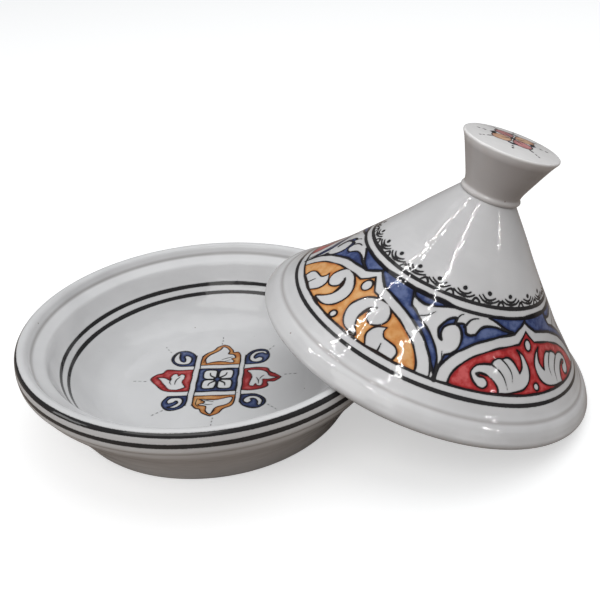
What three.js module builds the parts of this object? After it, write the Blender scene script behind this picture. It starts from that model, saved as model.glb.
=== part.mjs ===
// Two-piece glazed earthenware tagine pot: a shallow cooking dish, and its conical lid leaning
// on the dish's rim with its own rim standing on the table. Millimetres, +Z up. The table is
// z = 0, the lid leans towards +X, and the origin lies under the middle of the bounding box.
import * as THREE from 'three';

// ---- driving dimensions -------------------------------------------------------------------

const ROUND_STEPS = 60;        // facets round the dish and the cone
const KNOB_STEPS = 36;         // facets round the knob
const JOINT_GAP = 0.3;         // clearance wherever two pieces meet

// dish: radii from the dish's own axis, heights from the table
const LIP = { radius: 131, height: 58.3, roll: 4.7 };     // rolled outer edge
const LEDGE = { outer: 124.7, outerHeight: 55.2, inner: 116.2, innerHeight: 51.6 };  // lid seat
const BAND = { radius: 136.2, height: 54.3, bottom: 46.8 };   // raised band round the rim
const FOOT = { radius: 102.4, inner: 90, recess: 2.5 };
const FLOOR_HEIGHT = 9;
const FLOOR_RADIUS = 72;

// lid: radii from the lid's own axis, heights above the middle of its rolled rim
const RIM = { radius: 118.5, roll: 4.05 };
const GROOVE = { radius: 112.9, height: 10.8 };           // turned groove over the rim band
const CONE_TOP = 113.6;
const CONE_WALL = 6.5;
const NECK_BORE = 13.6;                                   // way up from the cone to the knob
const BEAD = { radius: 21, height: 115.7 };               // bead round the foot of the knob
const KNOB = { neck: 19.6, flare: 33.1, edge: 1.6, edgeTop: 151.2, top: 152.5, wall: 6.2 };
const KNOB_OFFSET = 1.6;       // the knob is stuck on a little off the cone's axis

// how the lid rests
const LEAN = THREE.MathUtils.degToRad(19.4);

// ---- geometry helpers ---------------------------------------------------------------------

const point = (radius, height) => new THREE.Vector2(radius, height);

// Points on an arc in the profile plane, from one angle to another in degrees.
function arc(centre, radius, from, to, steps) {
  const points = [];
  for (let i = 0; i <= steps; i += 1) {
    const angle = THREE.MathUtils.degToRad(from + ((to - from) * i) / steps);
    points.push(point(centre.x + radius * Math.cos(angle), centre.y + radius * Math.sin(angle)));
  }
  return points;
}

// The same curve moved sideways by a wall thickness, towards the axis and down.
function innerWall(curve, wall, steps) {
  const points = [];
  for (let i = 0; i <= steps; i += 1) {
    const outside = curve.getPoint(i / steps);
    const along = curve.getTangent(i / steps);
    points.push(point(outside.x - wall * along.y, outside.y + wall * along.x));
  }
  return points;
}

// A closed body turned about +Z from a profile that starts and ends on the axis, or that
// closes on itself.
function turned(profile, steps) {
  const geometry = new THREE.LatheGeometry(profile, steps);
  geometry.rotateX(Math.PI / 2);
  return geometry;
}

function piece(name, geometry, color, roughness) {
  const material = new THREE.MeshStandardMaterial({ color, roughness, metalness: 0 });
  const mesh = new THREE.Mesh(geometry, material);
  mesh.name = name;
  return mesh;
}

// ---- dish ---------------------------------------------------------------------------------

function dishProfile() {
  const inside = new THREE.SplineCurve([
    point(FLOOR_RADIUS, FLOOR_HEIGHT),
    point(86, 12.6),
    point(96, 20),
    point(103.8, 29.4),
    point(110.2, 39.6),
    point(LEDGE.inner - 1.2, LEDGE.innerHeight - 2),
  ]);
  const outside = new THREE.SplineCurve([
    point(BAND.radius - 3.6, BAND.bottom - 1.8),
    point(130.2, 40),
    point(119.9, 27),
    point(110.6, 13.5),
    point(FOOT.radius + 1.2, 1.6),
  ]);
  return [
    point(0, FLOOR_HEIGHT),
    ...inside.getPoints(8),
    point(LEDGE.inner, LEDGE.innerHeight),
    point(LEDGE.outer, LEDGE.outerHeight),
    ...arc(point(LIP.radius, LIP.height), LIP.roll, 160, 10, 5),
    point(BAND.radius, BAND.height),
    point(BAND.radius - 0.5, BAND.bottom + 2),
    point(BAND.radius - 1.8, BAND.bottom),
    ...outside.getPoints(6),
    point(FOOT.radius, 0),
    point(FOOT.inner, 0),
    point(FOOT.inner - 2, FOOT.recess),
    point(0, FOOT.recess),
  ];
}

// ---- lid ----------------------------------------------------------------------------------

// The outside of the cone, from just over the groove up to the neck under the knob.
const coneOutside = new THREE.SplineCurve([
  point(GROOVE.radius - 2.9, GROOVE.height + 2.9),
  point(96.3, 27),
  point(82.5, 40.5),
  point(70.5, 54),
  point(58.6, 67.5),
  point(47.1, 81),
  point(36.1, 94.5),
  point(25, 107.6),
  point(20.6, 112.8),
]);

function coneProfile() {
  const roll = point(RIM.radius, 0);
  const inside = innerWall(coneOutside, CONE_WALL, 8).reverse();
  const profile = [
    ...arc(roll, RIM.roll, -140, 40, 6),
    point(GROOVE.radius + 7.3, GROOVE.height - 5.8),
    point(GROOVE.radius + 4.9, GROOVE.height - 2.8),
    point(GROOVE.radius + 2.5, GROOVE.height - 1),
    point(GROOVE.radius, GROOVE.height),
    point(GROOVE.radius - 0.7, GROOVE.height + 1.2),
    ...coneOutside.getPoints(10),
    point(KNOB.neck, CONE_TOP),
    point(NECK_BORE, CONE_TOP),
    ...inside.slice(1),
  ];
  return [...profile, profile[0].clone()];
}

// The knob is thrown as a small flared cup with a closed, faintly domed top, hollow from below,
// and stands on a bead.
function knobProfile() {
  const base = CONE_TOP + JOINT_GAP;
  const ceiling = KNOB.edgeTop - KNOB.wall - 0.5;
  const shoulder = KNOB.flare - KNOB.edge;
  const outside = new THREE.SplineCurve([
    point(KNOB.neck, BEAD.height + 2),
    point(20.6, 122.4),
    point(25.8, 134.6),
    point(30.4, 144.8),
    point(KNOB.flare, KNOB.edgeTop - 2.2),
  ]);
  return [
    point(0, ceiling),
    point(22, ceiling),
    point(23.8, ceiling - 2),
    point(18.2, 131),
    point(NECK_BORE, 121),
    point(NECK_BORE, base),
    point(KNOB.neck, base),
    point(BEAD.radius - 0.3, BEAD.height - 0.9),
    point(BEAD.radius, BEAD.height),
    point(BEAD.radius - 0.4, BEAD.height + 1),
    ...outside.getPoints(7),
    ...arc(point(shoulder, KNOB.edgeTop - KNOB.edge), KNOB.edge, 15, 85, 2),
    point(shoulder / 2, KNOB.top - 0.35),
    point(0, KNOB.top),
  ];
}

// ---- how the lid leans --------------------------------------------------------------------

// Least distance between the middle lines of the lid's rim roll and the dish's lip roll,
// with the lid's axis at the given reach from the dish's axis.
function rollDistance(reach, height) {
  let least = Infinity;
  for (let step = 0; step < 720; step += 1) {
    const angle = (step * Math.PI) / 360;
    const x = reach + RIM.radius * Math.cos(angle) * Math.cos(LEAN);
    const y = RIM.radius * Math.sin(angle);
    const z = height - RIM.radius * Math.cos(angle) * Math.sin(LEAN);
    least = Math.min(least, Math.hypot(Math.hypot(x, y) - LIP.radius, z - LIP.height));
  }
  return least;
}

// The reach at which the lid, standing on the table, just rests on the lip at two points.
function restingReach(height) {
  const touching = RIM.roll + LIP.roll + JOINT_GAP;
  let near = RIM.radius;
  let far = LIP.radius + RIM.radius;
  for (let round = 0; round < 40; round += 1) {
    const middle = (near + far) / 2;
    if (rollDistance(middle, height) < touching) near = middle;
    else far = middle;
  }
  return far;
}

const rimHeight = RIM.radius * Math.sin(LEAN) + RIM.roll;
const reach = restingReach(rimHeight);
const rightEnd = reach + RIM.radius * Math.cos(LEAN) + RIM.roll;
const dishX = -(rightEnd - BAND.radius) / 2;

// ---- assembly -----------------------------------------------------------------------------

const pot = new THREE.Group();

const dish = piece('dish', turned(dishProfile().reverse(), ROUND_STEPS), 0xd9d8d4, 0.12);
dish.position.x = dishX;
pot.add(dish);

const lid = new THREE.Group();
lid.position.set(dishX + reach, 0, rimHeight);
lid.rotation.y = LEAN;
lid.add(piece('lid_cone', turned(coneProfile(), ROUND_STEPS), 0xd9d8d4, 0.12));
const knob = piece('lid_knob', turned(knobProfile(), KNOB_STEPS), 0xcfcdc8, 0.14);
knob.position.x = KNOB_OFFSET;
lid.add(knob);
pot.add(lid);

export default pot;
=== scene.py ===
import math

import bpy
import numpy as np
from mathutils import Matrix, Vector


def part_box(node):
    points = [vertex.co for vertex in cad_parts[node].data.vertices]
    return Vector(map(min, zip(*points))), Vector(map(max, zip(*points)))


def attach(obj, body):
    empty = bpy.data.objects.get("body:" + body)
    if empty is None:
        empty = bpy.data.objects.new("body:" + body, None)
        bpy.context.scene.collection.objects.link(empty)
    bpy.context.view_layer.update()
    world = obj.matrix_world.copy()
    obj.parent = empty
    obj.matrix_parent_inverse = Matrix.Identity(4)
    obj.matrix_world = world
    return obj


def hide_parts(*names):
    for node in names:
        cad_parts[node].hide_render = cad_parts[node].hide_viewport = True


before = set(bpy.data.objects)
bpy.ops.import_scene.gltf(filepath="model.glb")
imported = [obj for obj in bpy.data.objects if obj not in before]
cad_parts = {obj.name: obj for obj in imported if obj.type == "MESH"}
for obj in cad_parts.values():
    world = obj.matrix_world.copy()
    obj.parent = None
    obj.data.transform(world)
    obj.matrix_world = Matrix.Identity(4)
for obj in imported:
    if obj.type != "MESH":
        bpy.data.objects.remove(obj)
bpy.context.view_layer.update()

MM = 0.001
MIRROR_DISTANCE = 1.6           # how far the small lamps stand off the glaze, in metres
FAR = 9.0                       # depth stored well outside any paint
PIGMENTS = ("blue", "orange", "red", "ink")

# ---- sizes shared with the CAD ----

LEAN = math.radians(19.4)
RIM_RADIUS = 118.5
RIM_ROLL = 4.05
CONE_WALL = 6.5
KNOB_BORE = 13.6

DISH_LOW, DISH_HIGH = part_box("dish")
_, CONE_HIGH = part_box("lid_cone")
DISH_X = (DISH_LOW.x + DISH_HIGH.x) / 2 / MM
LID_X = CONE_HIGH.x / MM - RIM_ROLL - RIM_RADIUS * math.cos(LEAN)
LID_Z = RIM_RADIUS * math.sin(LEAN) + RIM_ROLL

DISH_PLACE = Matrix.Translation((DISH_X * MM, 0, 0))
LID_PLACE = Matrix.Translation((LID_X * MM, 0, LID_Z * MM)) @ Matrix.Rotation(LEAN, 4, "Y")


# ---- outlines ----

def curve(points, steps=8):
    """A smooth curve through the points, the same spline as the CAD outlines use."""
    p = np.array(points, float)
    last = len(p) - 1
    made = []
    for i in range(last):
        before, start, end, after = p[max(i - 1, 0)], p[i], p[i + 1], p[min(i + 2, last)]
        leave, arrive = (end - before) / 2, (after - start) / 2
        for t in np.arange(steps) / steps:
            bend = (2 * (start - end) + leave + arrive) * t**3
            bend += (3 * (end - start) - 2 * leave - arrive) * t**2
            made.append(start + leave * t + bend)
    made.append(p[-1])
    return np.array(made)


def arc(centre, radius, start, end, steps=12):
    angle = np.radians(np.linspace(start, end, steps + 1))
    return np.stack([centre[0] + radius * np.cos(angle), centre[1] + radius * np.sin(angle)], 1)


def offset(line, distance):
    """The line moved sideways, to the left of its direction for a positive distance."""
    along = np.gradient(line, axis=0)
    along /= np.linalg.norm(along, axis=1)[:, None]
    return line + distance * np.stack([-along[:, 1], along[:, 0]], 1)


def rounded(line, radius):
    """The line with its corners cut off by small curves."""
    made = [line[0]]
    for before, corner, after in zip(line[:-2], line[1:-1], line[2:]):
        back, forth = before - corner, after - corner
        room_back, room_forth = np.linalg.norm(back), np.linalg.norm(forth)
        start = corner + back * min(radius / room_back, 0.5)
        end = corner + forth * min(radius / room_forth, 0.5)
        for t in (0.0, 0.33, 0.67, 1.0):
            made.append(start * (1 - t) ** 2 + corner * 2 * t * (1 - t) + end * t * t)
    made.append(line[-1])
    return np.array(made)


def rows_along(line, spacing):
    """Points along the line at the spacing that spacing(radius, height) asks for."""
    run = np.concatenate([[0], np.cumsum(np.linalg.norm(np.diff(line, axis=0), axis=1))])
    places = [0.0]
    while places[-1] < run[-1]:
        radius = np.interp(places[-1], run, line[:, 0])
        height = np.interp(places[-1], run, line[:, 1])
        places.append(places[-1] + spacing(radius, height))
    places = np.array(places) * run[-1] / places[-1]
    return np.stack([np.interp(places, run, line[:, 0]), np.interp(places, run, line[:, 1])], 1)


# ---- turned bodies ----

class Turned:
    """A body turned about its own +Z. It keeps each vertex's angle, radius, height and run
    along the outline, for the painter."""

    def __init__(self, name, line, spacing, segments, closed=False):
        rows = rows_along(line, spacing)
        if closed:
            rows = rows[:-1]
        self.name = name
        self.closed = closed
        self.rows = rows
        self.segments = segments
        run = np.concatenate([[0], np.cumsum(np.linalg.norm(np.diff(rows, axis=0), axis=1))])
        turn = np.arange(segments) * 2 * math.pi / segments
        ring_rows = range(len(rows)) if closed else range(1, len(rows) - 1)
        self.rings = len(ring_rows)
        radius = np.repeat(rows[ring_rows, 0], segments)
        height = np.repeat(rows[ring_rows, 1], segments)
        self.run = np.repeat(run[ring_rows], segments)
        self.angle = np.tile(turn, self.rings)
        if not closed:
            radius = np.concatenate([radius, rows[[0, -1], 0]])
            height = np.concatenate([height, rows[[0, -1], 1]])
            self.run = np.concatenate([self.run, run[[0, -1]]])
            self.angle = np.concatenate([self.angle, [0, 0]])
        self.radius = radius
        self.height = height
        self.degrees = (np.degrees(self.angle) + 180) % 360 - 180
        self.x = radius * np.cos(self.angle)
        self.y = radius * np.sin(self.angle)
        self.paint = {pigment: np.full(len(radius), -FAR) for pigment in PIGMENTS}
        # how far each vertex is greyed as painted shade
        self.paint["recess"] = np.zeros(len(radius))

    def faces(self):
        n = self.segments
        made = []
        for ring in range(self.rings if self.closed else self.rings - 1):
            low, high = ring * n, (ring + 1) % self.rings * n
            made += [(low + i, low + (i + 1) % n, high + (i + 1) % n, high + i) for i in range(n)]
        if not self.closed:
            first, last = self.rings * n, self.rings * n + 1
            end = (self.rings - 1) * n
            made += [(first, (i + 1) % n, i) for i in range(n)]
            made += [(last, end + i, end + (i + 1) % n) for i in range(n)]
        return made

    def build(self, place, uneven):
        """Makes the piece in metres, drawn in by up to the given share of its radius."""
        wave = np.sin(2 * self.angle + 0.7) + 0.6 * np.sin(3 * self.angle + self.height / 31)
        wave += 0.35 * np.sin(5 * self.angle + 2.1 + self.height / 17)
        shrink = 1 - uneven * (2.1 + wave) / 4.05
        points = np.stack([self.x * shrink, self.y * shrink, self.height], 1) * MM
        mesh = bpy.data.meshes.new(self.name)
        mesh.from_pydata(points.tolist(), [], self.faces())
        mesh.transform(place)
        mesh.update()
        clay = mesh.attributes.new("clay", "FLOAT_VECTOR", "POINT")
        clay.data.foreach_set("vector", points.ravel())
        for pigment, depth in self.paint.items():
            mesh.attributes.new(pigment, "FLOAT", "POINT").data.foreach_set("value", depth)
        mesh.shade_smooth()
        piece = bpy.data.objects.new(self.name, mesh)
        bpy.context.scene.collection.objects.link(piece)
        return piece


# ---- the painter ----

def path(points, closed=False, steps=6):
    """A brush path through listed points. A point given twice is a corner, and so is the
    first point of a closed path."""
    points = [tuple(p) for p in points]
    if closed:
        points.append(points[0])
    pieces, run = [], [points[0]]
    for before, point in zip(points, points[1:]):
        if point == before:
            pieces.append(run)
            run = [point]
        else:
            run.append(point)
    pieces.append(run)
    lines = [curve(p, steps) if len(p) > 2 else np.array(p, float) for p in pieces if len(p) > 1]
    return np.concatenate(lines)


def oval(x, y, half_width, half_height, steps=28):
    turn = np.linspace(0, 2 * math.pi, steps + 1)
    return np.stack([x + half_width * np.cos(turn), y + half_height * np.sin(turn)], 1)


def mirrored(points):
    return [(-x, *rest) for x, *rest in points]


class Patch:
    """A flat patch of a turned body: x and y in mm at the vertices listed in index. flat() turns
    the coordinates that the shapes are drawn in into x and y."""

    def __init__(self, body, index, x, y, flat=None, seed=0.0):
        self.body = body
        self.index = index
        sway = 0.16 * np.sin(x / 3.1 + 1.7 * seed) + 0.14 * np.sin(y / 2.3 - seed + x / 9)
        rise = 0.16 * np.sin(y / 3.7 + seed) + 0.14 * np.sin(x / 2.7 + 2.3 * seed - y / 8)
        self.x = x + sway
        self.y = y + rise
        self.flat = flat
        self.swell = 1 + 0.28 * np.sin(x / 3.3 + 1.9 * seed) * np.sin(y / 2.9 - 1.3 * seed)

    def flattened(self, line):
        if self.flat is None:
            return line
        made = np.array(line, float)
        made[:, 0], made[:, 1] = self.flat(line[:, 0], line[:, 1])
        return made

    def near(self, line, margin):
        low, high = line[:, :2].min(0) - margin, line[:, :2].max(0) + margin
        inside = (self.x > low[0]) & (self.x < high[0]) & (self.y > low[1]) & (self.y < high[1])
        return np.nonzero(inside)[0]

    def reach(self, line, near, half_width=None):
        """Least distance from the vertices to the line, less the line's half width there."""
        x, y = self.x[near], self.y[near]
        least = np.full(len(near), FAR)
        for i in range(len(line) - 1):
            (ax, ay), (bx, by) = line[i][:2], line[i + 1][:2]
            dx, dy = bx - ax, by - ay
            share = ((x - ax) * dx + (y - ay) * dy) / max(dx * dx + dy * dy, 1e-9)
            share = np.clip(share, 0, 1)
            distance = np.hypot(x - ax - share * dx, y - ay - share * dy)
            if half_width is not None:
                distance = distance - half_width[i] - share * (half_width[i + 1] - half_width[i])
            least = np.minimum(least, distance)
        return least

    def depth(self, outline):
        """Signed depth inside a closed outline, at every vertex of the patch."""
        line = self.flattened(outline)
        near = self.near(line, 3)
        x, y = self.x[near], self.y[near]
        inside = np.zeros(len(near), bool)
        for (ax, ay), (bx, by) in zip(line[:, :2], np.roll(line[:, :2], -1, 0)):
            if ay != by:
                crossing = ax + (y - ay) * (bx - ax) / (by - ay)
                inside ^= ((ay > y) != (by > y)) & (x < crossing)
        closed = np.concatenate([line, line[:1]])
        distance = self.reach(closed, near)
        made = np.full(len(self.x), -FAR)
        made[near] = np.where(inside, distance, -distance)
        return made

    def lay(self, pigment, depth):
        kept = self.body.paint[pigment]
        kept[self.index] = np.maximum(kept[self.index], depth)

    def fill(self, pigment, outlines, gaps=(), edge=0.0):
        """Fills the outlines as one, except for the gaps, and inks every edge of what it fills
        if a line width is given."""
        depth = np.max([self.depth(outline) for outline in outlines], axis=0)
        for gap in gaps:
            depth = np.minimum(depth, -self.depth(gap))
        self.lay(pigment, depth)
        if edge:
            self.lay("ink", edge / 2 * self.swell - np.abs(depth))

    def trace(self, outline, width):
        """Inks a line along a closed outline."""
        self.lay("ink", width / 2 * self.swell - np.abs(self.depth(outline)))

    def stroke(self, line, start, middle, end, pigment="ink"):
        """One brush stroke, with its width at its start, middle and end."""
        line = self.flattened(np.array(line, float))
        run = np.concatenate([[0], np.cumsum(np.linalg.norm(np.diff(line, axis=0), axis=1))])
        run /= run[-1]
        half = np.interp(run, [0, 0.5, 1], [start / 2, middle / 2, end / 2])
        near = self.near(line, 2 + half.max())
        made = np.full(len(self.x), -FAR)
        made[near] = -self.reach(line, near, half)
        self.lay(pigment, made)


def ring(body, run, width, seed=0.0):
    """A banded line round a body, put on with a loaded brush while the wheel turns."""
    swell = 1 + 0.07 * np.sin(3 * body.angle + seed) + 0.05 * np.sin(11 * body.angle + 2 * seed)
    drift = 0.12 * np.sin(2 * body.angle + seed) + 0.06 * np.sin(7 * body.angle - seed)
    depth = width / 2 * swell - np.abs(body.run - run - drift)
    body.paint["ink"] = np.maximum(body.paint["ink"], depth)


def recess(body, run, width):
    """A corner round a body, greyed as painted shade, which also stands for the glaze lying thick
    there.
    """
    depth = 1 - np.abs(body.run - run) / width
    body.paint["recess"] = np.maximum(body.paint["recess"], depth)


def run_at(body, radius, height):
    """The run along the body's outline of its nearest point to a radius and height."""
    nearest = np.argmin(np.hypot(body.radius - radius, body.height - height))
    return body.run[nearest]


# ---- dish ----

FLOOR_HEIGHT = 9
LIP_RADIUS, LIP_HEIGHT, LIP_ROLL = 131, 58.3, 4.7
LEDGE_CORNER = (125.5, 55.8)    # where the lid's ledge meets the lip
FOOT_OUTSIDE, FOOT_INSIDE, FOOT_RECESS = 102.4, 90, 2.5
MOTIF_RADIUS = 66               # the motif stays inside this on the floor of the dish
BOWL_INSIDE = curve([(72, FLOOR_HEIGHT), (86, 12.6), (96, 20), (103.8, 29.4), (110.2, 39.6),
                     (115, 49.6)])
DISH_LINES = (
    # the radius and height of a painted line, its width, and its seed
    (103.8, 29.4, 3.2, 0.4),
    (108.1, 35.8, 3.2, 1.9),
    (134.9, 61.0, 3.4, 3.1),
    (136.2, 54.3, 3.4, 4.4),
)


def dish_line():
    outside = curve([(132.6, 45), (130.2, 40), (119.9, 27), (110.6, 13.5), (103.6, 1.6)])
    lip = arc((LIP_RADIUS, LIP_HEIGHT), LIP_ROLL, 160, 10)
    seat = [(116.2, 51.6), (124.7, 55.2)]
    band = [(136.2, 54.3), (135.7, 48.8), (134.4, 46.8)]
    foot = [(FOOT_OUTSIDE, 0), (FOOT_INSIDE, 0), (FOOT_INSIDE - 2, FOOT_RECESS), (0, FOOT_RECESS)]
    floor = [(0, FLOOR_HEIGHT)]
    return rounded(np.concatenate([floor, BOWL_INSIDE, seat, lip, band, outside, foot]), 1.3)


def dish_spacing(radius, height):
    """Close rows under the motif, the painted lines and the rim, and wide ones elsewhere."""
    if radius < MOTIF_RADIUS + 1 and height > FLOOR_HEIGHT - 1:
        return 0.62
    if radius < 88 and height < 5:
        return 4.0
    painted = abs(radius - 106) < 5 and height > 20
    return 0.55 if painted or height > 45 else 1.6


UPPER_LEFT_SCROLL = [(-16.5, 19), (-16.5, 19), (-16.8, 31), (-19.5, 37.5), (-25.5, 41.3),
                     (-31.5, 40.6), (-35.3, 36), (-36, 30), (-33.6, 23.6), (-28.6, 19.8),
                     (-22, 19)]
UPPER_LEFT_WHITE = [(-31.4, 39.4), (-34.2, 34.4), (-34, 28), (-31, 23.6), (-26, 22), (-21.2, 23),
                    (-19.8, 27.5), (-21, 31.8), (-24.5, 34.4), (-26.4, 33), (-25, 29.4),
                    (-25, 26.2), (-26.4, 25.6), (-29, 28), (-30.4, 33), (-30.6, 38)]
UPPER_RIGHT_SCROLL = [(23, 20), (23, 20), (23.2, 31), (25.5, 36.5), (30.5, 40.6), (36, 41),
                      (40.6, 37.6), (41.6, 31), (39.6, 24.6), (35, 21), (29, 20)]
UPPER_RIGHT_WHITE = [(35, 38.6), (29.6, 37.4), (26.4, 32.6), (26.4, 27), (29, 23.4), (33.4, 22.8),
                     (36.4, 25), (36.4, 28.2), (33.6, 29.6), (30.6, 27.6), (29.4, 30.4),
                     (31.4, 34.4), (36, 35.6), (39.6, 33.6), (39, 37)]
LOWER_LEFT_SCROLL = [(-16.5, -20.4), (-16.5, -20.4), (-16.5, -29), (-18.4, -35), (-23.6, -38),
                     (-29.6, -37.6), (-33.6, -33), (-34.2, -27), (-31.6, -21), (-31.6, -21),
                     (-24, -20.4)]
LOWER_LEFT_WHITE = [(-30.6, -25), (-28.4, -22.8), (-22.4, -22.8), (-19.4, -26.4), (-20, -32),
                    (-24.4, -35.4), (-29.6, -34.4), (-26, -33), (-22.8, -29.4), (-24.4, -26.6),
                    (-26.4, -28.6), (-29.6, -29.6), (-31, -27.4)]
LOWER_RIGHT_SCROLL = [(23, -20.4), (23, -20.4), (23.2, -29), (25.6, -34.6), (31.4, -37.6),
                      (37.4, -37), (41.4, -33), (41.2, -27.4), (38, -23), (32, -20.4)]
LOWER_RIGHT_WHITE = [(39, -34), (39.4, -28.4), (35.6, -24), (30.4, -22.8), (26.4, -25),
                     (25.6, -29), (28.4, -31.6), (31, -29.6), (30.4, -26.4), (33.6, -26.6),
                     (36, -30), (36.4, -34.4)]
LEFT_PALMETTE = [(-16.5, 14), (-16.5, 14), (-27, 13.6), (-37, 14.8), (-40, 10.4), (-45, 8.4),
                 (-48.4, 3.6), (-46.4, -1.6), (-42.4, -6.6), (-36.4, -12.6), (-30, -15),
                 (-16.5, -15), (-16.5, -15)]
LEFT_LEAF = [(-43.4, 4.4), (-43.4, 4.4), (-37.4, 3.8), (-32.6, 0.4), (-33, 4.4), (-31.6, 8.2),
             (-28.8, 8.6), (-27.6, 5.6), (-25.4, 8), (-22.6, 6.6), (-22.4, 2.4), (-23.4, -2.4),
             (-20, -9.4), (-20, -9.4), (-26.4, -12.6), (-32.4, -11.4), (-36.4, -5.6),
             (-39.8, 0.4)]
RIGHT_PALMETTE = [(23, 13.4), (23, 13.4), (33.5, 14.8), (41, 13.6), (43.6, 8.4), (48, 5.4),
                  (52, 1), (52, 1), (47.4, -4.6), (42.4, -5.4), (42.4, -10.6), (37.4, -14.2),
                  (30, -15.4), (23, -15), (23, -15)]
RIGHT_LEAF = [(49.4, 0.8), (49.4, 0.8), (43.4, 2.4), (41, 8), (35.6, 11), (26, 10.6), (28.4, 6.4),
              (29.6, 1.4), (28, -8.4), (31, -10), (33, -7), (34.4, -9.6), (37.4, -9.8),
              (38.6, -5), (38.4, -1.6), (43, -1.6)]
UPPER_CAP = [(-12, 20), (-12, 20), (-12, 31), (-8.6, 37), (-3.6, 41.4), (-0.6, 46.4), (4, 49.4),
             (4, 49.4), (8, 47), (11.4, 41.4), (12.4, 37.6), (16.4, 37.4), (19, 31), (19, 20),
             (19, 20)]
UPPER_LEAF = [(-7.6, 22.6), (-7.6, 22.6), (-9, 28.6), (-6.8, 33.6), (-2.4, 37.2), (1.4, 41.4),
              (3.6, 46), (6.6, 44.4), (9, 39.4), (8.6, 35.6), (13, 34), (14.8, 29.8),
              (11.6, 28.4), (13.6, 25), (12, 23), (3, 25)]
LOWER_CAP = [(-12, -21), (-12, -21), (-12, -31), (-9, -36.4), (-5.6, -38), (-3.8, -42),
             (3, -46), (3, -46), (8.4, -43), (11.4, -38), (17, -34.4), (19, -29), (19, -21),
             (19, -21)]
LOWER_LEAF = [(-7.4, -25.2), (-7.4, -25.2), (4, -26.6), (16.2, -23.6), (16.6, -29),
              (13, -33), (6, -36), (3, -43.4), (-0.6, -40), (-1.4, -34.6), (-7.6, -32.6),
              (-3, -29.6)]
RAYS = [((2.2, 50.6), (2.2, 62)), ((5, -48.6), (5, -58.4)), ((-51.6, 0.2), (-62, 0.8)),
        ((55, 4.2), (64.4, 4.8)), ((41.6, 40.6), (47.4, 50.4)), ((-38, 40), (-44.4, 49.6)),
        ((44, -34.4), (50.4, -40.6)), ((-32.6, -38), (-39.8, -44.2))]
DASHES = (0.0, 0.38, 0.76)      # where the dashes of a ray start, as shares of its length
DASH_LENGTH = 0.16
UPRIGHTS = ((-16.5, -33, 34), (-12, -33, 33), (19, -30, 32), (22.8, -30, 33))
MOTIF_STROKES = [
    # the folds in the leaves and caps, each a path and a width
    ([(-26.1, 4.6), (-28.2, 0.8), (-28.9, -5.5)], 1.1),
    ([(-32.1, 3), (-32.8, -2), (-31.4, -6)], 0.9),
    ([(33.3, 1), (35.2, -3.4), (35.2, -7.4)], 1.1),
    ([(39, 3.8), (36.9, 1.5), (35.9, -1.6)], 0.9),
    ([(12.4, 31), (8, 29.5), (4, 27.3)], 0.9),
    ([(10.6, 27), (6.8, 25.5)], 0.9),
    ([(-10, 23.6), (-9.4, 29.5), (-6.2, 34.8), (-1.4, 38.9), (1.6, 42)], 0.8),
    ([(-6, -28), (-1.9, -27.7), (3.5, -29)], 0.9),
    ([(-4.9, -31), (-0.4, -32.6), (3, -32)], 0.9),
    ([(-1.6, -39.6), (2.4, -43.6), (6, -38.8)], 0.9),
    ([(-9, -24), (-9.6, -31), (-6.6, -35.4)], 0.8),
]


def paint_dish(body):
    for radius, height, width, seed in DISH_LINES:
        ring(body, run_at(body, radius, height), width, seed)
    # painted shade in the corner where the ledge meets the lip
    recess(body, run_at(body, *LEDGE_CORNER), 2.2)
    floor = np.nonzero((body.radius < MOTIF_RADIUS) & (body.height > FLOOR_HEIGHT - 1))[0]
    patch = Patch(body, floor, body.x[floor], body.y[floor], seed=0.8)
    for scroll, white in ((UPPER_LEFT_SCROLL, UPPER_LEFT_WHITE),
                          (UPPER_RIGHT_SCROLL, UPPER_RIGHT_WHITE),
                          (LOWER_LEFT_SCROLL, LOWER_LEFT_WHITE),
                          (LOWER_RIGHT_SCROLL, LOWER_RIGHT_WHITE)):
        patch.fill("blue", [path(scroll, True)], [path(white, True)], 1.15)
    for field, leaf in ((LEFT_PALMETTE, LEFT_LEAF), (RIGHT_PALMETTE, RIGHT_LEAF)):
        patch.fill("red", [path(field, True)], [path(leaf, True)], 0.75)
    for field, leaf in ((UPPER_CAP, UPPER_LEAF), (LOWER_CAP, LOWER_LEAF)):
        patch.fill("orange", [path(field, True)], [path(leaf, True)], 1.0)
    for points, width in MOTIF_STROKES:
        patch.stroke(path(points), 0.7 * width, width, 0.6 * width)
    paint_square(patch)
    for x, low, high in UPRIGHTS:
        patch.stroke([(x, low), (x, high)], 0.9, 1.1, 0.9)
    for start, end in RAYS:
        start, end = np.array(start), np.array(end)
        for share in DASHES:
            dash = [start + (end - start) * share, start + (end - start) * (share + DASH_LENGTH)]
            patch.stroke(dash, 0.7, 1.0, 0.5)


SQUARE = [(-12, 14.6), (19, 14.4), (19, -15.6), (-12, -15.8)]
FLOWER = np.array((3.5, 0.1))   # the middle of the flower
# one petal of the flower, a round-cornered square of half size 1
PETAL = [(1, 0), (0.84, 0.84), (0, 1), (-0.84, 0.84), (-1, 0), (-0.84, -0.84), (0, -1),
         (0.84, -0.84)]
PETAL_VEIN = [(1.8, 2.2), (5.4, 5.2), (6.2, 8.4)]


def paint_square(patch):
    """The blue square with its four-petalled flower, in the middle of the motif."""
    quarters = [np.array((x, y)) for x in (-1, 1) for y in (-1, 1)]
    petals = []
    for quarter in quarters:
        petal = [FLOWER + (6.0, 6.5) * quarter + np.array(point) * (5.4, 5.9) for point in PETAL]
        petals.append(path(petal, True))
    patch.fill("blue", [np.array(SQUARE, float)], petals, 1.3)
    patch.fill("blue", [oval(*FLOWER, 2.9, 3.2)], (), 1.0)
    for x in (-1, 1):
        patch.stroke([FLOWER + (2 * x, 0), FLOWER + (8.6 * x, 0)], 1.3, 1.2, 0.9)
    for quarter in quarters:
        patch.stroke(path([FLOWER + quarter * point for point in PETAL_VEIN]), 2.1, 1.5, 0.9)


# ---- lid cone ----

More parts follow.
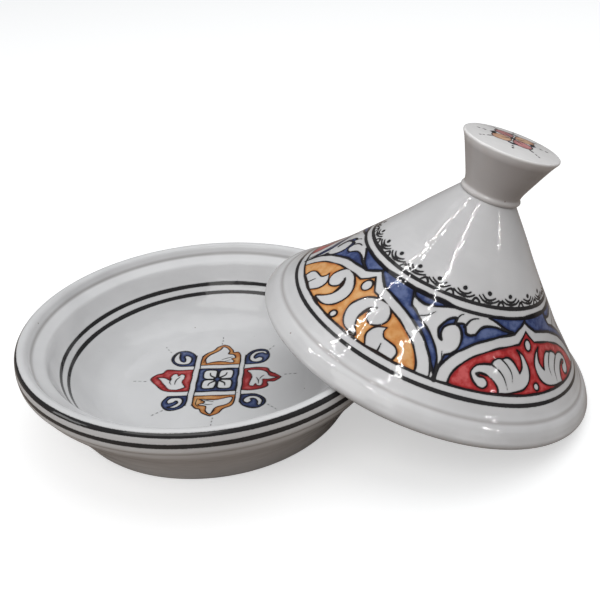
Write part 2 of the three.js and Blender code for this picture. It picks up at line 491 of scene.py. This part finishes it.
CONE_TOP = 113.6
CONE_OUTSIDE = curve([(110, 13.7), (96.3, 27), (82.5, 40.5), (70.5, 54), (58.6, 67.5), (47.1, 81),
                      (36.1, 94.5), (25, 107.6), (20.6, 112.8)])
CONE_SINE = 0.681               # how much the cone's radius falls for each mm up its slope
MEDALLIONS = ((-56.5, "red"), (33.5, "orange"), (123.5, "red"), (-146.5, "orange"))
PATTERN_TURN = 0.6              # how far the painter started the band round the cone
LEAF_TURN = -101.5              # where the leaf between the last medallion and the first is centred
SCALLOPS = 22
SCALLOP_STEP = 360 / SCALLOPS
FIRST_SCALLOP = -98             # the angle of one of them
GROOVE = (112.9, 10.8)          # the turned groove over the rim
PAINTED_LOW, PAINTED_HIGH = 14, 74   # the heights that the painted band lies between
CONE_LINES = (
    # the height of a painted line, its width, and its seed
    (18.8, 2.7, 0.3),
    (22.9, 1.7, 1.2),
    (58.5, 2.5, 2.6),
    (63.0, 2.6, 3.9),
)


def cone_line():
    roll = arc((RIM_RADIUS, 0), RIM_ROLL, -140, 40)
    shoulder = [(120.2, 5.0), (117.8, 8.0), (115.4, 9.8), GROOVE, (112.2, 12.0)]
    neck = [(19.6, CONE_TOP), (KNOB_BORE, CONE_TOP)]
    inside = offset(CONE_OUTSIDE, CONE_WALL)[::-1][8:]
    line = np.concatenate([roll, shoulder, CONE_OUTSIDE, neck, inside, roll[:1]])
    return rounded(line, 1.0)


def cone_radius(height):
    return np.interp(height, CONE_OUTSIDE[:, 1], CONE_OUTSIDE[:, 0])


def cone_spacing(radius, height):
    """Close rows under the painted band and at both edges, and wide ones elsewhere."""
    outside = radius > cone_radius(height) - 1.5
    if outside and 15 < height < 72:
        return 0.62
    return 0.6 if height < 15 or height > 108 else 1.9


def unroll(degrees, height):
    """Where a point of the cone lies when the cone is unrolled flat."""
    reach = cone_radius(height) / CONE_SINE
    turn = np.radians(degrees) * CONE_SINE
    return reach * np.sin(turn), -reach * np.cos(turn)


def cone_patch(body, centre, seed, half=52):
    """The outside of the painted band, up to half degrees to each side of the centre."""
    outside = body.radius > cone_radius(body.height) - 2
    degrees = (body.degrees - PATTERN_TURN - centre + 180) % 360 - 180
    band = (body.height > PAINTED_LOW) & (body.height < PAINTED_HIGH)
    here = outside & band & (np.abs(degrees) < half)
    index = np.nonzero(here)[0]
    x, y = unroll(degrees[index], body.height[index])
    return Patch(body, index, x, y, unroll, seed)


def medallion(half_width, height, waist, tip):
    """A low round arch from the border up to a pointed tip, in degrees and mm."""
    base = 23.0
    shoulder = math.acos(waist / half_width)
    turn = np.linspace(0, shoulder, 20)
    right = np.stack([half_width * np.cos(turn), base + height * np.sin(turn)], 1)
    tip_side = np.linspace(right[-1], (0, tip), 8)[1:]
    right = np.concatenate([right, tip_side])
    left = right[::-1] * (-1, 1)
    across = np.linspace(-half_width, half_width, 31)[1:-1]
    foot = np.stack([across, np.full(len(across), base)], 1)
    return np.concatenate([right, left[1:], foot])


FRAME_OUTSIDE = medallion(44.3, 28.4, 8.0, 56.4)
FRAME_INSIDE = medallion(39.0, 23.2, 5.8, 51.9)

RED_LEAF = [(-7.8, 43.2), (-7.8, 43.2), (-4.4, 40.5), (-2.3, 35.4), (-3, 30.3), (-5.6, 26.7),
            (-9.8, 24.6), (-19, 23.4), (-19, 23.4), (-19.3, 26), (-20.8, 28.8), (-23.2, 30.8),
            (-25.9, 31.6), (-27.8, 30.6), (-27.4, 29.9), (-25.2, 29.8), (-23.9, 28.3),
            (-24, 26.4), (-25.6, 25), (-27.9, 25.5), (-30, 28.3), (-30.6, 31.3), (-28.7, 34.2),
            (-25.2, 35.6), (-21.6, 35.8), (-21.6, 35.8), (-20.8, 37.4), (-18.6, 38.7),
            (-16.4, 38.9), (-14, 39.7), (-12.2, 39.3), (-10.3, 37.7), (-9, 35.4), (-7.9, 32.7),
            (-7.9, 32.7), (-6.1, 35.4), (-5.8, 38.6), (-6.6, 41.4)]
RED_VEINS = [[(-16.6, 38.6), (-13.9, 36), (-12.1, 32.4), (-12.2, 28.8)],
             [(-21.4, 35.6), (-18.2, 33.4), (-16, 30.3), (-15.1, 25.4)]]
RED_CURL = [(-28.2, 30.6), (-26.6, 31.4), (-23.8, 30.6)]
ORANGE_SCROLL = [(-12.3, 24.2), (-12.3, 24.2), (-7.4, 25), (-4.6, 27.2), (-2.7, 31.3),
                 (-2.3, 35.9), (-4.6, 41), (-9, 44.3), (-14.3, 44.9), (-17.2, 44.3),
                 (-19.6, 41.5), (-20.2, 37.4), (-18.5, 34.3), (-15.4, 32.5), (-12.4, 33.8),
                 (-10.9, 36.4), (-11.9, 39.6), (-9.8, 38.3), (-8.7, 35.4), (-9, 31.8),
                 (-10.7, 28.2), (-13.6, 24.6)]
ORANGE_CURL = [(-12.6, 40.2), (-10.6, 38.6), (-9.4, 35.6), (-9.2, 32)]
FLAME_LEAF = [(19, 23.4), (19, 23.4), (16.7, 27.2), (16.8, 30.8), (18.4, 33.4), (21.9, 35.3),
              (21.9, 35.3), (21.8, 32.9), (23.3, 30.8), (25.9, 30.2), (29, 29.3), (30.6, 27),
              (30, 23.4), (30, 23.4)]
FLAME_VEIN = [(24.2, 23.4), (23.5, 27.8)]


def paint_medallion(patch, colour):
    """A frame, and inside it a field of the colour round white leaves and dots."""
    patch.trace(FRAME_OUTSIDE, 1.6)
    gaps = []
    if colour == "red":
        for side in (RED_LEAF, mirrored(RED_LEAF)):
            gaps.append(path(side, True))
        gaps.append(oval(0, 45.3, 2.2, 2.9))
        gaps.append(oval(0, 26, 1.5, 1.7))
        for vein in RED_VEINS:
            for side in (vein, mirrored(vein)):
                patch.stroke(path(side), 1.3, 1.15, 0.5)
        for curl in (RED_CURL, mirrored(RED_CURL)):
            patch.stroke(path(curl), 2.2, 1.6, 0.7)
    else:
        for side in (ORANGE_SCROLL, mirrored(ORANGE_SCROLL)):
            gaps.append(path(side, True))
        for side in (FLAME_LEAF, mirrored(FLAME_LEAF)):
            gaps.append(path(side, True))
        gaps.append(oval(0, 45.9, 2.7, 3.2))
        gaps.append(oval(0, 25.6, 1.5, 1.9))
        for side in (ORANGE_CURL, mirrored(ORANGE_CURL)):
            patch.stroke(path(side), 1.8, 2.3, 0.9)
        for side in (FLAME_VEIN, mirrored(FLAME_VEIN)):
            patch.stroke(path(side), 1.5, 1.3, 0.8)
    patch.fill(colour, [FRAME_INSIDE], gaps, 1.35)


# The leaf between two medallions, in degrees round the cone and mm over the rim plane. These are
# the points of the leaf at LEAF_TURN, and the same leaf stands in all four places.
BLUE_FIELDS = [
    # right of the tip of the medallion to the left, and the wedge down its frame
    [(-146.5, 58.6), (-146.5, 58.6), (-124.6, 58.8), (-124.6, 58.8), (-122.9, 54.6),
     (-121, 50.8), (-117.4, 49), (-113.7, 46.4), (-110, 44), (-110, 44), (-113.4, 40),
     (-118, 43), (-124, 46), (-132, 48), (-144, 50), (-144, 50)],
    # strip under the upper line
    [(-124.4, 58.8), (-124.4, 58.8), (-122.3, 55.2), (-117.1, 54), (-112.4, 54.4),
     (-108.6, 55.4), (-104.3, 57), (-99, 58.4), (-99, 58.4)],
    # down the left side of the stem
    [(-113, 46), (-113, 46), (-107.7, 42), (-103.6, 37.2), (-101.2, 31.6), (-100.4, 24),
     (-100.4, 24), (-101.9, 27.4), (-104.9, 32.8), (-108.8, 38.6), (-112, 42)],
    # crescent inside the leaf
    [(-98.1, 53.4), (-98.1, 53.4), (-100, 52.8), (-102.1, 51.2), (-104.3, 47.4), (-104.8, 45.2),
     (-103.6, 42), (-101.9, 41), (-101.9, 41), (-103, 43.6), (-103.1, 45.6), (-102.4, 47.6),
     (-100.4, 49.4), (-98.1, 50.4), (-98.1, 50.4)],
    # between the lobe and the frame to the right
    [(-98.1, 50.6), (-98.1, 50.6), (-95.7, 49.6), (-94, 47.2), (-93.4, 44), (-94.2, 40),
     (-96.1, 36.8), (-98.9, 35), (-98.9, 35), (-99.8, 30), (-99.8, 24), (-99.8, 24), (-95, 31),
     (-92, 37.6), (-88.6, 41.4), (-84.4, 45), (-84.4, 45), (-87.1, 48), (-89.7, 47.4),
     (-91.9, 48), (-93.1, 51), (-94.6, 51.6)],
    # crescent along the frame
    [(-88.6, 44.6), (-88.6, 44.6), (-86.7, 49), (-83.9, 52), (-80.7, 53.1), (-76.4, 53.3),
     (-73, 52.7), (-69, 51.9), (-65, 51.4), (-65, 51.4), (-66, 49), (-72, 48), (-79, 46),
     (-84, 43)],
    # left of the tip of the medallion to the right
    [(-80.7, 57.4), (-80.7, 57.4), (-76.4, 55.9), (-70, 52.9), (-65.4, 51.6), (-65.4, 51.6),
     (-62, 49), (-62, 49), (-55, 58.6), (-55, 58.6), (-76, 58.6)],
]
LEAF_STROKES = [
    ([(-115.4, 47.8), (-111.8, 49.6), (-109, 52.6)], 0.8, 1.1, 0.6),
    ([(-97.6, 50.6), (-97.4, 53.6), (-96.1, 55.4), (-94.8, 56.1)], 1.1, 1.1, 0.7),
    ([(-93.5, 50.4), (-91.4, 53.6), (-89.3, 55.2), (-86.3, 56.1)], 1.8, 1.3, 0.7),
    ([(-99.9, 24), (-99.4, 31), (-100.1, 36)], 1.2, 1.0, 0.8),
]


LEAF_STEM = [(-100.2, 22.8), (-100.2, 27)]


def leaf_points(points):
    """Points of the leaf in degrees from its own centre."""
    return [(degrees - LEAF_TURN, height) for degrees, height in points]


def paint_leaf(patch):
    """White leaves, left over by the blue fields between two frames."""
    frames = [FRAME_OUTSIDE + (-45, 0), FRAME_OUTSIDE + (45, 0)]
    fields = [path(leaf_points(field), True) for field in BLUE_FIELDS]
    patch.fill("blue", fields, frames, 1.6)
    for points, start, middle, end in LEAF_STROKES:
        patch.stroke(path(leaf_points(points)), start, middle, end)
    patch.stroke(leaf_points(LEAF_STEM), 3.0, 2.2, 1.4)


def paint_scallop(patch, lean, high):
    """A scallop that hangs on the topmost line, under a dot."""
    patch.stroke([(lean, 68.9 + high), (lean + 0.3, 69 + high)], 2.9, 3.0, 2.8)
    for width, top, low in ((4.4, 67.7, 66.1), (6.8, 66.9, 64.9)):
        points = [(-width, top + high), (-width * 0.55, low + 0.5), (0, low),
                  (width * 0.55, low + 0.5), (width, top - high)]
        patch.stroke(path(points), 1.1, 1.6, 1.2)
    half = SCALLOP_STEP / 2
    arch = [(half - 2.2, 64.1), (half - 1, 65.4), (half, 65.9), (half + 1.2, 65.4),
            (half + 2.4, 64.1)]
    patch.stroke(path(arch), 1.3, 1.8, 1.3)


def paint_cone(body):
    for height, width, seed in CONE_LINES:
        ring(body, run_at(body, cone_radius(height), height), width, seed)
    # painted shade in the groove over the rim
    recess(body, run_at(body, *GROOVE), 2.0)
    for number, (centre, colour) in enumerate(MEDALLIONS):
        paint_medallion(cone_patch(body, centre, 1.3 * number), colour)
        paint_leaf(cone_patch(body, LEAF_TURN + 90 * number, 0.9 * number + 0.4))
    for number in range(SCALLOPS):
        patch = cone_patch(body, FIRST_SCALLOP + SCALLOP_STEP * number, 1.1 * number, 13)
        paint_scallop(patch, 0.5 * math.sin(2.3 * number), 0.35 * math.sin(1.7 * number))


# ---- knob ----

KNOB_BASE = 113.4               # a little inside the cone, so that no gap shows
KNOB_EDGE = 151.0
KNOB_TOP = 152.5
KNOB_OFFSET = 1.6               # how far the knob stands off the cone's axis
KNOB_WALL = 6.7                 # at the closed top
KNOB_SIDE_SHADE = 1.32                # how far painted shade greys the knob's side

STAR = np.array((1.5, 6.4))     # the middle of the star on the knob's top
STAR_TURN = -65                 # the angles of the first petal and of the first dab
DAB_TURN = -14
STAR_PETAL = [(1.6, 0), (6, 5.2), (11, 6.8), (15, 4.4), (17.4, 0), (15, -4.4), (11, -6.8),
              (6, -5.2)]


def knob_line():
    ceiling = KNOB_EDGE - KNOB_WALL
    bead = [(19.6, KNOB_BASE), (20.7, 114.8), (21, 115.7), (20.6, 116.7)]
    outside = curve([(19.6, 117.7), (20.6, 122.4), (25.8, 134.6), (30.4, 144.8),
                     (33.0, KNOB_EDGE - 1.6)])
    edge = arc((32.1, KNOB_EDGE - 1.0), 1.0, 10, 85, 8)
    hollow = [(0, ceiling), (22, ceiling), (23.8, ceiling - 2), (18.2, 131),
              (KNOB_BORE, 121), (KNOB_BORE, KNOB_BASE)]
    top = [(15.75, KNOB_TOP - 0.35), (0, KNOB_TOP)]
    return rounded(np.concatenate([hollow, bead, outside, edge, top]), 1.1)


def knob_spacing(radius, height):
    """Close rows under the star and at both edges, and wide ones elsewhere."""
    if height > 148 and radius < 28:
        return 0.42
    return 0.6 if height > 146 or height < 120 else 1.3


def directions(degrees):
    """Unit vectors along and across an angle."""
    turn = math.radians(degrees)
    along = np.array((math.cos(turn), math.sin(turn)))
    return along, np.array((-along[1], along[0]))


def paint_star_petal(patch, degrees, colour):
    along, across = directions(degrees)
    petal = [tuple(STAR + along * reach + across * width) for reach, width in STAR_PETAL]
    patch.fill(colour, [path(petal, True)], (), 0.7)
    patch.stroke([STAR + along * 4, STAR + along * 10], 1.0, 1.0, 0.4)
    patch.stroke([STAR + along * 18.6, STAR + along * 21.6], 1.7, 2.2, 1.2)
    for reach in (24.4, 27.2):
        patch.stroke([STAR + along * reach, STAR + along * (reach + 0.8)], 1.3, 1.5, 1.0)


def paint_star_dab(patch, degrees):
    along, across = directions(degrees)
    aside = across * 2.4
    dab = [STAR + along * 13 - aside, STAR + along * 13.6, STAR + along * 13 + aside]
    patch.stroke(dab, 3.0, 4.4, 3.2, "blue")
    patch.stroke(dab, 1.8, 3.0, 1.8)
    for reach in (19, 23):
        patch.stroke([STAR + along * reach, STAR + along * (reach + 1)], 1.8, 2.0, 1.2)


def paint_knob(body):
    """A star of four petals, with a blue dab between each two, and dots running out to the edge.
    The side is greyed as painted shade, less so over the bead."""
    # painted shade: the outside greyed down the side, fading out under the top edge and easing off
    # over the bead
    side = np.clip((150 - body.height) / 6, 0, 1) * np.clip((body.height - 114) / 5, 0.62, 1)
    body.paint["recess"] = KNOB_SIDE_SHADE * side * (body.radius > 18)
    top = np.nonzero((body.height > 148) & (body.radius < 30.5))[0]
    patch = Patch(body, top, body.x[top], body.y[top], seed=0.5)
    for quarter in range(4):
        colour = "orange" if quarter % 2 else "red"
        paint_star_petal(patch, STAR_TURN + 90 * quarter, colour)
        paint_star_dab(patch, DAB_TURN + 90 * quarter)
    patch.fill("ink", [oval(*STAR, 2.0, 2.2)])


# ---- materials ----

PIGMENT_COLOURS = {
    # thin paint, thick paint where it pools at an outline
    "blue": ((0.036, 0.078, 0.245, 1), (0.008, 0.012, 0.058, 1)),
    "orange": ((0.70, 0.365, 0.105, 1), (0.47, 0.145, 0.033, 1)),
    "red": ((0.56, 0.020, 0.020, 1), (0.22, 0.006, 0.009, 1)),
    "ink": ((0.008, 0.006, 0.007, 1), (0.004, 0.003, 0.004, 1)),
}
# One glaze on all three pieces, given a different brightness on each as painted light and shade:
# lightest on the knob, darkest on the cone.
DISH_WHITE = (0.80, 0.795, 0.80), (0.75, 0.745, 0.75)      # thin glaze, thick glaze
CONE_WHITE = (0.615, 0.61, 0.615), (0.55, 0.545, 0.55)
KNOB_WHITE = (0.86, 0.845, 0.84), (0.79, 0.775, 0.77)
# the grey of the painted shade in corners and down the knob's side
PAINTED_SHADE_GREY = (0.225, 0.195, 0.185, 1)
IRON_BROWN = (0.16, 0.10, 0.07, 1)
RIPPLE_DEPTH = 0.0006           # metres


class Nodes:
    """A small helper that adds and links shader nodes in a material or a world."""

    def __init__(self, owner, shader="Principled BSDF"):
        owner.use_nodes = True
        self.tree = owner.node_tree
        self.shader = self.tree.nodes[shader]

    def put(self, socket, value):
        if isinstance(value, bpy.types.NodeSocket):
            self.tree.links.new(value, socket)
        else:
            socket.default_value = value

    def add(self, kind, inputs, output=0, **settings):
        made = self.tree.nodes.new(kind)
        for name, value in settings.items():
            setattr(made, name, value)
        for name, value in inputs.items():
            self.put(made.inputs[name], value)
        return made.outputs[output]

    def math(self, operation, first, second):
        return self.add("ShaderNodeMath", {0: first, 1: second}, operation=operation)

    def steps(self, value, low, high, to_low=0.0, to_high=1.0):
        inputs = {"Value": value, "From Min": low, "From Max": high}
        inputs["To Min"], inputs["To Max"] = to_low, to_high
        return self.add("ShaderNodeMapRange", inputs, interpolation_type="SMOOTHSTEP")

    def mix(self, share, first, second, blend="MIX"):
        made = self.tree.nodes.new("ShaderNodeMix")
        made.data_type = "RGBA"
        made.blend_type = blend
        self.put(made.inputs[0], share)
        self.put(made.inputs[6], first)
        self.put(made.inputs[7], second)
        return made.outputs[2]

    def noise(self, where, scale, detail=2.0, roughness=0.5):
        inputs = {"Vector": where, "Scale": scale, "Detail": detail, "Roughness": roughness}
        return self.add("ShaderNodeTexNoise", inputs)

    def depth(self, pigment):
        return self.add("ShaderNodeAttribute", {}, 2, attribute_name=pigment)


def glaze(name, whites, roughness, strength=1.0):
    """Glossy tin glaze: milky white that varies in thickness, iron specks, brushed pigments
    with soft wobbling edges that pool dark at the outlines, and a gently rippled surface.
    Paint of less than full strength lets the white through."""
    material = bpy.data.materials.new(name)
    nodes = Nodes(material)
    where = nodes.add("ShaderNodeAttribute", {}, 1, attribute_name="clay")
    cloud = nodes.steps(nodes.noise(where, 22, 3, 0.55), 0.3, 0.7)
    thin, thick = whites
    colour = nodes.mix(cloud, (*thin, 1), (*thick, 1))
    # painted shade: the white greyed in corners and down the knob's side
    corner = nodes.math("MULTIPLY", nodes.depth("recess"), 0.5)
    colour = nodes.mix(corner, colour, PAINTED_SHADE_GREY)
    colour = with_specks(nodes, where, colour)
    edge = nodes.math("SUBTRACT", nodes.noise(where, 1100, 2, 0.6), 0.5)
    edge = nodes.math("MULTIPLY", edge, 0.55)
    brush = nodes.noise(where, 190, 3, 0.6)
    wash = nodes.noise(where, 75, 2, 0.5)
    relief = 0.0
    for pigment in PIGMENTS:
        thin, thick = PIGMENT_COLOURS[pigment]
        depth = nodes.math("ADD", nodes.depth(pigment), edge)
        pool = nodes.steps(nodes.depth(pigment), 0.2, 2.6, 1.0, 0.0)
        streak = nodes.steps(brush, 0.35, 0.72, 0.0, 0.42)
        patchy = nodes.steps(wash, 0.4, 0.66, 0.0, 0.35)
        dense = nodes.math("ADD", nodes.math("MULTIPLY", pool, 0.6), streak)
        dense = nodes.math("MINIMUM", nodes.math("ADD", dense, patchy), 1.0)
        if pigment == "ink":
            cover = 0.97
        else:
            cover = nodes.steps(dense, 0.0, 0.6, 0.86 * strength, 0.98 * strength)
        mask = nodes.math("MULTIPLY", nodes.steps(depth, -0.14, 0.14), cover)
        relief = nodes.math("MAXIMUM", relief, mask)
        bleed = nodes.steps(depth, -1.1, 0.1, 0.0, 0.16)
        mask = nodes.math("MAXIMUM", mask, bleed)
        colour = nodes.mix(mask, colour, nodes.mix(dense, thin, thick))
    nodes.put(nodes.shader.inputs["Base Color"], colour)
    rough = nodes.steps(nodes.noise(where, 60, 3, 0.6), 0.3, 0.7, roughness * 0.75, roughness * 1.4)
    nodes.put(nodes.shader.inputs["Roughness"], rough)
    nodes.put(nodes.shader.inputs["Normal"], ripples(nodes, where, relief))
    nodes.shader.inputs["IOR"].default_value = 1.5
    return material


def with_specks(nodes, where, colour):
    """Small brown iron specks that burn through the glaze."""
    cells = nodes.add("ShaderNodeTexVoronoi", {"Vector": where, "Scale": 95.0}, 0)
    few = nodes.steps(nodes.noise(where, 40, 1, 0.4), 0.56, 0.7)
    dot = nodes.math("MULTIPLY", nodes.steps(cells, 0.035, 0.075, 0.75, 0.0), few)
    return nodes.mix(dot, colour, IRON_BROWN)


def ripples(nodes, where, relief):
    """Throwing rings, slow waves and small dimples in the glaze, which stands a little proud
    over the paint."""
    slow = nodes.noise(where, 26, 1, 0.4)
    dimple = nodes.noise(where, 190, 1, 0.5)
    stretch = nodes.add("ShaderNodeMapping", {"Vector": where, "Scale": (9, 9, 150)})
    rings = nodes.noise(stretch, 1.0, 2, 0.5)
    stretch = nodes.add("ShaderNodeMapping", {"Vector": where, "Scale": (60, 60, 170)})
    finger_marks = nodes.noise(stretch, 1.0, 1, 0.5)
    height = nodes.math("MULTIPLY", slow, 1.2)
    height = nodes.math("ADD", height, nodes.math("MULTIPLY", rings, 0.28))
    height = nodes.math("ADD", height, nodes.math("MULTIPLY", finger_marks, 0.42))
    height = nodes.math("ADD", height, nodes.math("MULTIPLY", dimple, 0.12))
    height = nodes.math("ADD", height, nodes.math("MULTIPLY", relief, 0.03))
    inputs = {"Height": height, "Strength": 1.0, "Distance": RIPPLE_DEPTH}
    return nodes.add("ShaderNodeBump", inputs)


# ---- pieces ----

def make_dish():
    body = Turned("dish_glazed", dish_line(), dish_spacing, 600)
    paint_dish(body)
    piece = body.build(DISH_PLACE, 0.0022)
    piece.data.materials.append(glaze("dish_glaze", DISH_WHITE, 0.08))
    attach(piece, "dish")
    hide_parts("dish")
    return piece


def make_cone():
    body = Turned("lid_cone_glazed", cone_line(), cone_spacing, 960, closed=True)
    paint_cone(body)
    piece = body.build(LID_PLACE, 0.0016)
    piece.data.materials.append(glaze("lid_glaze", CONE_WHITE, 0.05))
    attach(piece, "lid")
    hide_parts("lid_cone")
    return piece


def make_knob():
    body = Turned("lid_knob_glazed", knob_line(), knob_spacing, 240)
    paint_knob(body)
    piece = body.build(LID_PLACE @ Matrix.Translation((KNOB_OFFSET * MM, 0, 0)), 0.003)
    piece.data.materials.append(glaze("knob_glaze", KNOB_WHITE, 0.11, strength=0.78))
    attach(piece, "lid")
    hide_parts("lid_knob")
    return piece


# ---- studio ----

CAMERA_PLACE = Vector((21.44, -504.50, 350.51)) * MM
CAMERA_HEADING = math.radians(92.50)
CAMERA_PITCH = math.radians(-28.60)
CAMERA_ROLL = math.radians(-3.195)
CAMERA_LENS = 48.0
FLOOR_HALF = 8.0                # metres
FLOOR_BOUNCE = (0.285, 0.24, 0.21, 1), (0.325, 0.28, 0.245, 1)
FLOOR_SEEN = (0.78, 0.78, 0.78, 1)
LIGHT_LOW, LIGHT_HIGH = (1.0, 0.95, 0.92, 1), (0.93, 0.97, 1.0, 1)
BOWL_GLINT = 138                # the angle of the glint on the far wall of the bowl
RIM_GLINT = (-76.5, 118.2, 7.5, math.radians(42))    # where the glint on the lid's rim sits


def make_camera():
    ahead = Vector((math.cos(CAMERA_HEADING) * math.cos(CAMERA_PITCH),
                    math.sin(CAMERA_HEADING) * math.cos(CAMERA_PITCH), math.sin(CAMERA_PITCH)))
    right = Vector((math.sin(CAMERA_HEADING), -math.cos(CAMERA_HEADING), 0))
    up = right.cross(ahead)
    across = math.cos(CAMERA_ROLL) * right + math.sin(CAMERA_ROLL) * up
    upward = math.cos(CAMERA_ROLL) * up - math.sin(CAMERA_ROLL) * right
    data = bpy.data.cameras.new("camera")
    data.lens = CAMERA_LENS
    data.sensor_width = 36
    data.clip_start = 0.01
    data.clip_end = 50
    camera = bpy.data.objects.new("camera", data)
    bpy.context.scene.collection.objects.link(camera)
    turn = Matrix((across, upward, -ahead)).transposed()
    camera.matrix_world = Matrix.Translation(CAMERA_PLACE) @ turn.to_4x4()
    bpy.context.scene.camera = camera


def make_floor():
    """A pale floor, which bounces a little less and warmer light than it shows."""
    mesh = bpy.data.meshes.new("floor")
    corners = [(-FLOOR_HALF, -FLOOR_HALF, 0), (FLOOR_HALF, -FLOOR_HALF, 0),
               (FLOOR_HALF, FLOOR_HALF, 0), (-FLOOR_HALF, FLOOR_HALF, 0)]
    mesh.from_pydata(corners, [], [(0, 1, 2, 3)])
    floor = bpy.data.objects.new("floor", mesh)
    bpy.context.scene.collection.objects.link(floor)
    material = bpy.data.materials.new("floor_paper")
    nodes = Nodes(material)
    seen = nodes.add("ShaderNodeLightPath", {}, 0)
    grain = nodes.noise(nodes.add("ShaderNodeTexCoord", {}, 3), 30, 2, 0.5)
    bounce = nodes.mix(grain, *FLOOR_BOUNCE)
    nodes.put(nodes.shader.inputs["Base Color"], nodes.mix(seen, bounce, FLOOR_SEEN))
    nodes.shader.inputs["Emission Color"].default_value = (1, 1, 1, 1)
    nodes.put(nodes.shader.inputs["Emission Strength"], nodes.math("MULTIPLY", seen, 0.5))
    nodes.shader.inputs["Roughness"].default_value = 0.9
    nodes.shader.inputs["Specular IOR Level"].default_value = 0.1
    mesh.materials.append(material)


def make_world():
    """Soft light, brighter and cooler from above than from the sides, in a room that is darker
    where the glaze mirrors it. To the camera it is a plain pale backdrop."""
    world = bpy.data.worlds.new("studio")
    nodes = Nodes(world, "Background")
    direction = nodes.add("ShaderNodeTexCoord", {}, "Generated")
    up = nodes.add("ShaderNodeSeparateXYZ", {"Vector": direction}, "Z")
    seen = nodes.add("ShaderNodeLightPath", {}, "Is Camera Ray")
    mirrored_ray = nodes.add("ShaderNodeLightPath", {}, "Is Glossy Ray")
    colour = nodes.mix(nodes.steps(up, 0.0, 0.8), LIGHT_LOW, LIGHT_HIGH)
    nodes.put(nodes.shader.inputs["Color"], nodes.mix(seen, colour, (1, 1, 1, 1)))
    level = nodes.steps(up, 0.0, 0.9, 0.25, 0.56)
    level = nodes.math("MULTIPLY", level, nodes.steps(mirrored_ray, 0.0, 1.0, 1.0, 0.38))
    level = nodes.math("MAXIMUM", level, nodes.math("MULTIPLY", seen, 0.95))
    nodes.put(nodes.shader.inputs["Strength"], level)
    bpy.context.scene.world = world


def area_light(name, place, target, width, height, power, colour=(1, 1, 1), only=()):
    """A rectangular lamp, aimed at a target. It lights only the given pieces, if there are any."""
    data = bpy.data.lights.new(name, "AREA")
    data.shape = "RECTANGLE"
    data.size = width
    data.size_y = height
    data.energy = power
    data.color = colour
    light = bpy.data.objects.new(name, data)
    bpy.context.scene.collection.objects.link(light)
    light.location = place
    light.rotation_mode = "QUATERNION"
    light.rotation_quaternion = (Vector(target) - Vector(place)).to_track_quat("-Z", "Y")
    if only:
        lit = bpy.data.collections.new(name + "_lit")
        for piece in only:
            lit.objects.link(piece)
        light.light_linking.receiver_collection = lit


def mirror_light(name, surface, width, length, power, only):
    """A small lamp placed where the camera sees it mirrored at a point of a surface, given as
    the point and the normal there."""
    point, normal = surface
    look = (point - CAMERA_PLACE).normalized()
    away = look - 2 * look.dot(normal) * normal
    area_light(name, point + away * MIRROR_DISTANCE, point, width, length, power, only=only)


def around_lid(degrees, radius, height, tilt):
    """The point at that angle, radius and height on the lid, and the normal there, tilted up
    from the rim plane."""
    turn = math.radians(degrees)
    point = Vector((radius * math.cos(turn), radius * math.sin(turn), height)) * MM
    normal = Vector((math.cos(tilt) * math.cos(turn), math.cos(tilt) * math.sin(turn),
                     math.sin(tilt)))
    return LID_PLACE @ point, LID_PLACE.to_3x3() @ normal


def on_cone(degrees, height):
    """The point at that angle and height on the outside of the cone, and its normal."""
    radius, fall = CONE_OUTSIDE[:, 0], -np.gradient(CONE_OUTSIDE[:, 0], CONE_OUTSIDE[:, 1])
    radius, fall = (float(np.interp(height, CONE_OUTSIDE[:, 1], of)) for of in (radius, fall))
    return around_lid(degrees, radius, height, math.atan(fall))


def on_bowl(degrees, radius):
    """The point at that angle and radius on the inside of the bowl, and its normal."""
    slope = np.gradient(BOWL_INSIDE[:, 1], BOWL_INSIDE[:, 0])
    height = float(np.interp(radius, BOWL_INSIDE[:, 0], BOWL_INSIDE[:, 1]))
    slope = float(np.interp(radius, BOWL_INSIDE[:, 0], slope))
    turn = math.radians(degrees)
    point = Vector((radius * math.cos(turn), radius * math.sin(turn), height)) * MM
    normal = Vector((-slope * math.cos(turn), -slope * math.sin(turn), 1)).normalized()
    return DISH_PLACE @ point, normal


def make_lights(dish, lid):
    """Large soft lamps for the room, and small ones that put the highlights on the glaze."""
    area_light("key", (-0.6, -1.3, 1.8), (0, 0, 0.05), 1.6, 1.2, 10.2, (1.0, 0.99, 0.97))
    area_light("top", (0.2, 0.4, 2.2), (0, 0, 0), 2.4, 1.8, 12.4)
    area_light("left", (-1.7, -0.5, 0.5), (0, 0, 0.12), 0.6, 0.6, 3.2)
    area_light("left_knob", (-1.5, -0.25, 0.3), (0.13, 0, 0.17), 0.5, 0.5, 1.8, only=lid[1:])
    area_light("right", (1.1, -1.2, 0.3), (0.12, 0, 0.07), 0.8, 0.8, 1.5, only=lid[:1])
    mirror_light("streak_left", on_cone(-137, 50), 0.007, 0.9, 3.0, lid)
    mirror_light("streak_middle", on_cone(-112, 60), 0.007, 0.9, 3.4, lid)
    mirror_light("streak_neck", on_cone(-76.5, 104), 0.005, 0.2, 0.45, lid)
    mirror_light("spot_left", on_cone(-131.5, 40), 0.02, 0.05, 0.25, lid)
    mirror_light("spot_rim", around_lid(*RIM_GLINT), 0.02, 0.12, 0.5, lid)
    mirror_light("spot_bowl", on_bowl(BOWL_GLINT, 112), 0.05, 0.05, 1.2, dish)


# ---- making ----

bpy.context.scene.view_settings.view_transform = "Standard"
dish = [make_dish()]
lid = [make_cone(), make_knob()]
make_camera()
make_world()
make_lights(dish, lid)
make_floor()
